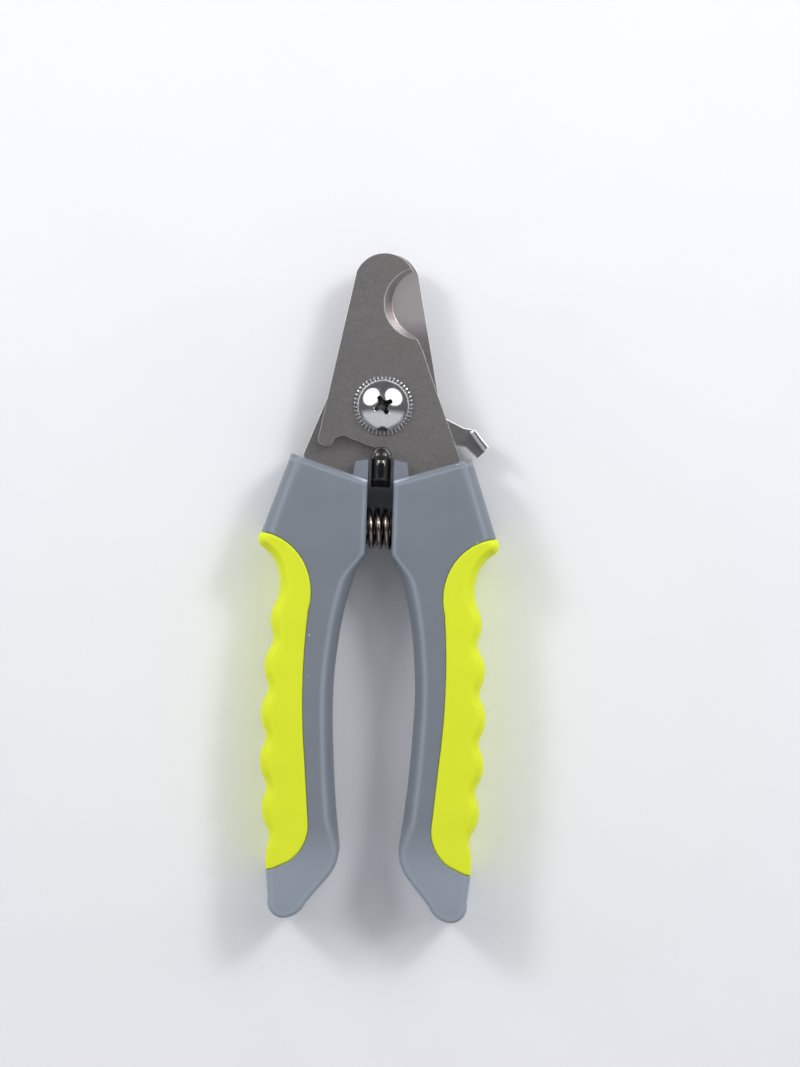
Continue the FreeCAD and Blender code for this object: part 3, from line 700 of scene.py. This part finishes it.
class CLIPPER_OT_handles(bpy.types.Operator):
    """Make both handles' covers and grips"""

    bl_idname = "clipper.handles"
    bl_label = "Handles"

    def execute(self, context):
        plan = HandlePlan()
        foot = face_foot()
        rows = np.arange(len(plan.inner_y))
        open_rows = (plan.inner_y > foot) & (rows > 0)
        channel = np.where(open_rows, CHANNEL, 0.0)
        grip = np.flatnonzero(plan.has_grip)
        for side, name, body in ((1, "right", "front_half"), (-1, "left", "rear_half")):
            cover = handle_piece(f"{name}_cover_moulding", plan, plan.inner_x, plan.inner_y, plan.seam_x,
                                 plan.outer_y, sizes().grip_step, channel, side)
            finish(cover, body, f"{name}_handle_cover", "cover_grey")
            pad = handle_piece(f"{name}_finger_grip", plan, plan.seam_x[grip], plan.outer_y[grip],
                               plan.outer_x[grip], plan.outer_y[grip], 0.0, np.zeros(len(grip)), side)
            finish(pad, body, f"{name}_grip", "grip_green")
            core = edged_copy(f"{name}_handle_core", f"{name}_hard_core", sizes().plastic_edge)
            finish(core, body, f"{name}_handle_core", "core_plastic")
        return {"FINISHED"}


def face_foot():
    """Where the core's flat inner face ends, towards the tail."""
    points = node_points("right_handle_core")
    return points[points[:, 0] < points[:, 0].min() + 1e-5, 1].min()


# ---------------- blades and guard

class CLIPPER_OT_blades(bpy.types.Operator):
    """Break the edges of both blades and of the guard, and give them their steel"""

    bl_idname = "clipper.blades"
    bl_label = "Blades and guard"

    def execute(self, context):
        for node, name, body, slot in (
            ("front_blade", "front_jaw", "front_half", "blade_steel"),
            ("rear_blade", "rear_jaw", "rear_half", "blade_steel"),
            ("guard_plate", "thumb_guard", "guard", "guard_steel"),
        ):
            piece = edged_copy(node, name, sizes().metal_edge, clamp=node != "guard_plate")
            finish(piece, body, node, slot)
        return {"FINISHED"}


# ---------------- screw, washers and nut

def turned(name, radius, height, around, smooth_angle, cavity):
    """A body of revolution about the pivot: radius, height and cavity are arrays of (profile, angle);
    cavity is painted shade in the recesses.
    """
    x = radius * np.cos(around)[None, :] + PIVOT[0]
    y = radius * np.sin(around)[None, :] + PIVOT[1]
    points = np.stack([x, y, np.broadcast_to(height, x.shape)], axis=-1)
    return build(name, points, quads(len(radius), len(around), wrap_columns=True), smooth_angle,
                 cavity=cavity)


WING = 0.00062  # half width of the cross's wings at the middle
WING_TAPER = 0.00025  # how much narrower each is at its end
WING_EDGE = 0.00008  # half the width over which its side walls fall
WING_END = (0.00035, 0.00005)  # how far before and past the reach its end wall rises
HUB = (0.0007, 0.00115)  # radii over which the hollow in the middle ends
SHALLOWER = 0.45  # share of the depth lost at a wing's end


def cross_depth(across, along, reach, depth):
    """Depth of a cross recess: four tapered wings, deepest in the middle and shallow at their ends."""
    size = sizes()
    turn = size.recess_turn
    first = across * math.cos(turn) + along * math.sin(turn)
    second = along * math.cos(turn) - across * math.sin(turn)
    long_way = np.maximum(np.abs(first), np.abs(second))
    short_way = np.minimum(np.abs(first), np.abs(second))
    half_width = WING - WING_TAPER * np.clip(long_way / reach, 0, 1)
    side = 1 - smooth_step(short_way, half_width - WING_EDGE, half_width + WING_EDGE)
    end = 1 - smooth_step(long_way, reach - WING_END[0], reach + WING_END[1])
    hub = 1 - smooth_step(np.hypot(across, along), *HUB)
    slope = 1 - SHALLOWER * np.clip(long_way / reach, 0, 1)
    return depth * np.maximum(side * end, hub) * slope


class CLIPPER_OT_pivot(bpy.types.Operator):
    """Turn the domed screw, the toothed washer and the parts behind the blades"""

    bl_idname = "clipper.pivot"
    bl_label = "Pivot"

    SHANK = 0.0025  # radius of the screw's shank
    HEAD_RIM = 0.0006  # height of the upright rim under the dome
    RECESS_REACH = 0.0021  # length of the cross's wings
    RECESS_DEPTH = 0.0017
    THREAD = (0.0062, 0.0004)  # where the thread starts and ends, above the screw's tip
    THREAD_DEPTH = 0.00042
    CORE_LESS = 0.0006  # how much narrower the shank's end face is
    WASHER_BORE = 0.00256  # radius of the toothed washer's hole
    NOTCH = 0.0004  # how deep the washer's teeth are cut, towards the middle
    DROP = 0.00045  # and how far its face falls between them

    def execute(self, context):
        self.screw()
        self.toothed_washer()
        for node, name in (
            ("spring_washer", "cone_washer"),
            ("flat_washer", "plain_washer"),
            ("pivot_nut", "hex_nut"),
        ):
            piece = edged_copy(node, name, 0.6 * sizes().metal_edge)
            finish(piece, "front_half", node, "plated_steel")
        return {"FINISHED"}

    def screw(self):
        """A spherical cap over a short rim, less the cross; below it a shank whose thread is a helix.

        The thread lowers the radius by a triangle wave of height less one pitch for each turn.
        """
        low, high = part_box("pivot_screw")
        _, washer_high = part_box("toothed_washer")
        around = np.linspace(0, TURN, 240, endpoint=False)
        radius = high.x - PIVOT[0]
        shank = self.SHANK
        base = washer_high.z
        rim = self.HEAD_RIM
        cap = high.z - base - rim
        ball = (radius ** 2 + cap ** 2) / (2 * cap)
        reach = radius * np.sin(np.linspace(0, 0.5 * math.pi, 90))[:, None] * np.ones((1, len(around)))
        level = base + rim + np.sqrt(ball ** 2 - reach ** 2) - (ball - cap)
        depth = self.RECESS_DEPTH
        recess = cross_depth(reach * np.cos(around), reach * np.sin(around), self.RECESS_REACH, depth)
        level = level - recess
        plain = np.linspace(base, low.z + self.THREAD[0], 4)[1:]
        thread = np.linspace(low.z + self.THREAD[0], low.z + self.THREAD[1], 110)
        phase = thread[:, None] / sizes().thread_pitch - around[None, :] / TURN
        ridge = np.abs(2 * (phase - np.floor(phase)) - 1)
        flat = np.ones((1, len(around)))
        below = (
            (radius * flat, base + 0.0001),
            ((radius - 0.00015) * flat, base),
            (shank * flat, base),
            (shank * flat, plain[:, None]),
            (shank - self.THREAD_DEPTH * ridge, thread[:, None]),
            ((shank - self.CORE_LESS) * flat, low.z),
            (0 * flat, low.z),
        )
        below = [np.broadcast_arrays(ring, height * flat) for ring, height in below]
        rings, levels = (np.concatenate(column) for column in zip((reach, level), *below))
        # painted shade in the cross recess
        cavity = np.zeros_like(rings)
        cavity[:len(recess)] = smooth_step(recess, 0.01 * depth, 0.15 * depth)
        piece = turned("dome_screw", rings, levels, around, 35.0, cavity)
        finish(piece, "front_half", "pivot_screw", "bright_chrome")

    def toothed_washer(self):
        """A flat ring whose rim and outer face fall away between teeth by a smooth step."""
        low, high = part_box("toothed_washer")
        teeth = sizes().teeth
        around = np.linspace(0, TURN, teeth * 12, endpoint=False)
        valley = smooth_step(np.cos(around * teeth), -0.3, 0.7)[None, :]
        outer = high.x - PIVOT[0]
        inner = self.WASHER_BORE
        # each ring's radius and height, and the shares of the notch and of the drop it takes; the drop's
        # share also sets the painted shade between the teeth
        profile = [
            (inner, low.z, 0, 0),
            (inner, high.z, 0, 0),
            (0.0054, high.z, 0, 0),
            (0.0056, high.z, 0, 1),
            (outer - 0.00035, high.z, 0.2, 1),
            (outer - 0.00012, high.z - 0.00006, 0.8, 1),
            (outer, high.z - 0.00022, 1, 0.6),
            (outer, low.z + 0.0001, 1, 0),
            (outer - 0.0001, low.z, 1, 0),
            (inner, low.z, 0, 0),
        ]
        radius = np.concatenate([reach - self.NOTCH * cut * valley for reach, _, cut, _ in profile])
        level = np.concatenate([height - self.DROP * cut * valley for _, height, _, cut in profile])
        # painted shade between the teeth, where the face drops
        cavity = np.concatenate([0.5 * cut * valley for _, _, _, cut in profile])
        piece = turned("serrated_washer", radius, level, around, 50.0, cavity)
        finish(piece, "front_half", "toothed_washer", "plated_steel")


# ---------------- spring and catch

class CLIPPER_OT_spring(bpy.types.Operator):
    """Wind the return spring between the two handles"""

    bl_idname = "clipper.spring"
    bl_label = "Return spring"

    WIRE = 0.0006  # radius of the wire
    TURNS = 10.5
    STEPS = 480  # rings along the whole wire
    SIDES = 14  # points round each ring
    START = 0.6  # angle at which the wire begins, in radians
    END_PITCH = 0.62  # pitch of the closed end turns, as a share of the middle's
    END_TURNS = (0.4, 1.4)  # turns from each end over which the pitch opens
    HELD = 0.92  # a share of the spring's half length

    def execute(self, context):
        """A tube of the wire's radius round a helix, whose pitch closes up over the turn at each end."""
        low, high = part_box("return_spring")
        wire = self.WIRE
        mean = 0.5 * (high.z - low.z) - wire
        along = 0.5 * (low.y + high.y)
        length = high.x - low.x - 2 * wire
        steps = np.linspace(0, self.TURNS, self.STEPS + 1)
        opened = smooth_step(np.minimum(steps, self.TURNS - steps), *self.END_TURNS)
        pace = self.END_PITCH + (1 - self.END_PITCH) * opened
        travel = np.concatenate([[0], np.cumsum(0.5 * (pace[1:] + pace[:-1]))])
        centre_x = low.x + wire + length * travel / travel[-1]
        turn = TURN * steps + self.START
        centre = np.stack([centre_x, along + mean * np.cos(turn), MID + mean * np.sin(turn)], axis=1)
        forward = np.gradient(centre, axis=0)
        forward /= np.linalg.norm(forward, axis=1)[:, None]
        outward = np.stack([np.zeros_like(turn), np.cos(turn), np.sin(turn)], axis=1)
        beside = np.cross(forward, outward)
        around = np.linspace(0, TURN, self.SIDES, endpoint=False)[None, :, None]
        ring = outward[:, None] * np.cos(around) + beside[:, None] * np.sin(around)
        points = centre[:, None] + ring * wire
        first = np.repeat(centre[:1][:, None], self.SIDES, axis=1)
        last = np.repeat(centre[-1:][:, None], self.SIDES, axis=1)
        points = np.concatenate([first, points, last])
        piece = build("coil_spring", points, quads(len(points), self.SIDES, wrap_columns=True), 60.0)
        finish(piece, None, "return_spring", "spring_black")
        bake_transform(piece)
        return {"FINISHED"}


class CLIPPER_OT_catch(bpy.types.Operator):
    """Make the lock catch: a domed head over a thin flange, on a ribbed stem with a thumb pad"""

    bl_idname = "clipper.catch"
    bl_label = "Lock catch"

    # lengths in metres; the places along Y are counted back from the middle of the head
    FLANGE_START = (-0.00005, 0.00008)
    FLANGE_END = (0.00042, 0.00055)
    STEM_END = (0.0047, 0.0050)
    FOOT_SHADE = (0.0047, 0.0053)  # over which the painted shade comes in, darker and without gloss, on the block below the stem
    ROWS = (0.0006, 0.0052)  # rows are closest before the first, widest after the second
    FOOT = 0.005  # where the deep part of the body ends
    WIDER = 0.00035  # how much wider than the head the flange is
    NARROWER = 0.00045  # and how much narrower the stem
    STEM_SINK = 0.0009  # how far the stem lies below the pad
    ABOVE_BLADE = (0.0009, 0.0012)  # height above the blade where flange and stem take their widths
    RIB_PLACE = 0.00075  # each rib's distance from the middle
    RIB_WIDTH = 0.00040
    RIB_HEIGHT = 0.0009
    SQUARENESS = 0.3  # power that turns each ring's circle into a rounded rectangle

    def execute(self, context):
        """A stack of rounded rectangles along Y.

        The half width is that of the head's circle, then of the stem; above the blades the stem is
        narrower and the flange wider. The top falls off over the head as a square and carries two ribs
        whose height is a bell curve of x.
        """
        low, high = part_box("lock_catch")
        _, blade_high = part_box("front_blade")
        radius = -low.x - 0.00001
        centre = high.y + low.x
        foot = centre - self.FOOT
        head = centre + radius * np.cos(np.linspace(0.12, 0.5 * math.pi, 24))
        close, wide_apart = self.ROWS
        lower = np.concatenate([np.linspace(0, close, 9), np.linspace(close, wide_apart, 24)[1:],
                                np.linspace(wide_apart, centre - low.y, 10)[1:]])
        along = np.concatenate([head, centre - lower[1:]])
        back = centre - along
        under = np.where(along > centre, np.sqrt(np.clip(radius ** 2 - (along - centre) ** 2, 0, None)),
                         radius)
        is_flange = smooth_step(back, *self.FLANGE_START) * (1 - smooth_step(back, *self.FLANGE_END))
        is_stem = smooth_step(back, *self.FLANGE_END) * (1 - smooth_step(back, *self.STEM_END))
        over = under + is_flange * self.WIDER - is_stem * self.NARROWER
        crown = np.clip((along - centre) / radius, 0, 1) ** 2
        top = high.z - 0.0011 * crown - 0.0002 * is_flange - self.STEM_SINK * is_stem
        bottom = np.where(along > foot, low.z, high.z - 0.002)
        turn = np.linspace(0, TURN, 120, endpoint=False)
        across = np.sign(np.cos(turn)) * np.abs(np.cos(turn)) ** self.SQUARENESS
        rise = np.sign(np.sin(turn)) * np.abs(np.sin(turn)) ** self.SQUARENESS
        centre_z = 0.5 * (top + bottom)[:, None]
        level = centre_z + 0.5 * (top - bottom)[:, None] * rise[None, :]
        wide = smooth_step(level, *(blade_high.z + rise_by for rise_by in self.ABOVE_BLADE))
        half = under[:, None] + (over - under)[:, None] * wide
        x = half * across[None, :]
        upper = (rise > 0.6)[None, :]
        ribs = np.exp(-(((np.abs(x) - self.RIB_PLACE) / self.RIB_WIDTH) ** 2)) * is_stem[:, None] * upper
        arch = 1 - 0.55 * ((back - 0.0029) / 0.0022)[:, None] ** 2
        level = level + self.RIB_HEIGHT * ribs * np.clip(arch, 0, 1)
        dome = np.clip(x / radius, -1, 1) ** 2 * (1 - is_stem)[:, None] * upper
        level = level - 0.0008 * dome
        points = np.stack([x, np.broadcast_to(along[:, None], x.shape), level], axis=-1)
        middle = points.mean(axis=1, keepdims=True)
        points = np.concatenate([np.broadcast_to(middle[:1], points[:1].shape), points,
                                 np.broadcast_to(middle[-1:], points[:1].shape)])
        # painted shade on the block below the stem
        shade_mask = np.pad(smooth_step(back, *self.FOOT_SHADE), 1, mode="edge")
        piece = build("thumb_catch", points, quads(len(points), len(turn), wrap_columns=True), 45.0,
                      cavity=np.repeat(shade_mask[:, None], len(turn), axis=1))
        finish(piece, "catch", "lock_catch", "catch_black")
        return {"FINISHED"}


# ---------------- stage

VIEW_HEIGHT = 0.233  # height of the framed field at the clipper
VIEW_CENTRE = (0.00455, 0.0116)
VIEW_ROLL = math.radians(1.85)
LENS = 120.0
SENSOR = 36.0


class CLIPPER_OT_stage(bpy.types.Operator):
    """Lay a pale floor and set the lights and the camera"""

    bl_idname = "clipper.stage"
    bl_label = "Stage"

    def execute(self, context):
        self.floor()
        self.world()
        # name, place, watts, diameter, and whether polished metal mirrors it
        for name, place, power, width, mirrored in (
            ("left_dish", (-0.62, 0.48, 0.62), 3.5, 1.0, True),
            ("right_dish", (0.52, 0.50, 0.66), 3.7, 1.0, True),
            ("left_lamp", (-0.60, 0.46, 0.60), 2.3, 0.22, True),
            ("right_lamp", (0.50, 0.48, 0.64), 2.4, 0.22, True),
            ("left_edge", (-1.1, 0.25, 0.16), 2.6, 0.30, False),
            ("right_edge", (1.1, 0.30, 0.16), 3.0, 0.30, False),
            ("back_edge", (0.1, 1.2, 0.16), 2.0, 0.30, False),
        ):
            self.light(name, place, power, width, mirrored)
        self.camera()
        return {"FINISHED"}

    def floor(self):
        edge = 2.5
        mesh = bpy.data.meshes.new("studio_floor")
        mesh.from_pydata([(-edge, -edge, 0), (edge, -edge, 0), (edge, edge, 0), (-edge, edge, 0)], [],
                         [(0, 1, 2, 3)])
        floor = bpy.data.objects.new("studio_floor", mesh)
        bpy.context.scene.collection.objects.link(floor)
        material, shader, add = new_material("studio_paper", Roughness=0.85)
        speckle = shared(add, "fine_speckle", Scale=30.0)
        base = colours().floor
        join(shader, "Base Color", mix_colours(add, speckle.outputs[0], tint(base, 0.99), tint(base, 1.01)))
        mesh.materials.append(material)

    def world(self):
        world = bpy.data.worlds.new("studio")
        world.use_nodes = True
        tree = world.node_tree
        add = new_tree_nodes(tree)
        split = add("ShaderNodeSeparateXYZ", {0: add("ShaderNodeTexCoord").outputs["Generated"]})
        front = add("ShaderNodeMapRange",
                    {"Value": split.outputs["Y"], "From Min": -0.18, "From Max": -0.42})
        high = add("ShaderNodeMapRange", {"Value": split.outputs["Z"], "From Min": 0.12, "From Max": 0.3})
        card = add("ShaderNodeMath", {0: front.outputs[0], 1: high.outputs[0]}, operation="MULTIPLY")
        sky = mix_colours(add, card.outputs[0], (0.13, 0.13, 0.135, 1.0), (0.62, 0.63, 0.66, 1.0))
        tree.links.new(sky, tree.nodes["Background"].inputs["Color"])
        bpy.context.scene.world = world
        bpy.context.scene.view_settings.view_transform = "Standard"

    def light(self, name, place, power, width, mirrored):
        lamp = bpy.data.lights.new(name, "AREA")
        lamp.shape = "DISK"
        lamp.size = width
        lamp.energy = power
        holder = bpy.data.objects.new(name, lamp)
        bpy.context.scene.collection.objects.link(holder)
        holder.location = place
        holder.visible_glossy = mirrored
        aim = -holder.location.normalized()
        holder.rotation_euler = aim.to_track_quat("-Z", "Y").to_euler()

    def camera(self):
        lens = bpy.data.cameras.new("studio_camera")
        lens.lens = LENS
        lens.sensor_fit = "VERTICAL"
        lens.sensor_height = SENSOR
        lens.clip_start = 0.01
        holder = bpy.data.objects.new("studio_camera", lens)
        bpy.context.scene.collection.objects.link(holder)
        distance = VIEW_HEIGHT * LENS / SENSOR
        holder.location = (*VIEW_CENTRE, MID + distance)
        holder.rotation_euler = (0, 0, VIEW_ROLL)
        bpy.context.scene.camera = holder


class CLIPPER_PT_panel(bpy.types.Panel):
    """Sidebar list of the clipper's steps"""

    bl_idname = "CLIPPER_PT_panel"
    bl_label = "Nail Clipper"
    bl_space_type = "VIEW_3D"
    bl_region_type = "UI"
    bl_category = "Clipper"

    def draw(self, context):
        for operator in OPERATORS:
            self.layout.operator(operator.bl_idname)
        for group in (context.scene.clipper_sizes, context.scene.clipper_colours):
            for name in group.bl_rna.properties.keys():
                if name not in ("rna_type", "name"):
                    self.layout.prop(group, name)


OPERATORS = (
    CLIPPER_OT_stage,
    CLIPPER_OT_handles,
    CLIPPER_OT_blades,
    CLIPPER_OT_pivot,
    CLIPPER_OT_spring,
    CLIPPER_OT_catch,
)
CLASSES = (ClipperSizes, ClipperColours, *OPERATORS, CLIPPER_PT_panel)


def register():
    for item in CLASSES:
        bpy.utils.register_class(item)
    bpy.types.Scene.clipper_sizes = PointerProperty(type=ClipperSizes)
    bpy.types.Scene.clipper_colours = PointerProperty(type=ClipperColours)


def unregister():
    del bpy.types.Scene.clipper_colours
    del bpy.types.Scene.clipper_sizes
    for item in reversed(CLASSES):
        bpy.utils.unregister_class(item)


def main():
    register()
    bpy.ops.clipper.stage()
    bpy.ops.clipper.handles()
    bpy.ops.clipper.blades()
    bpy.ops.clipper.pivot()
    bpy.ops.clipper.spring()
    bpy.ops.clipper.catch()


if __name__ == "__main__":
    main()
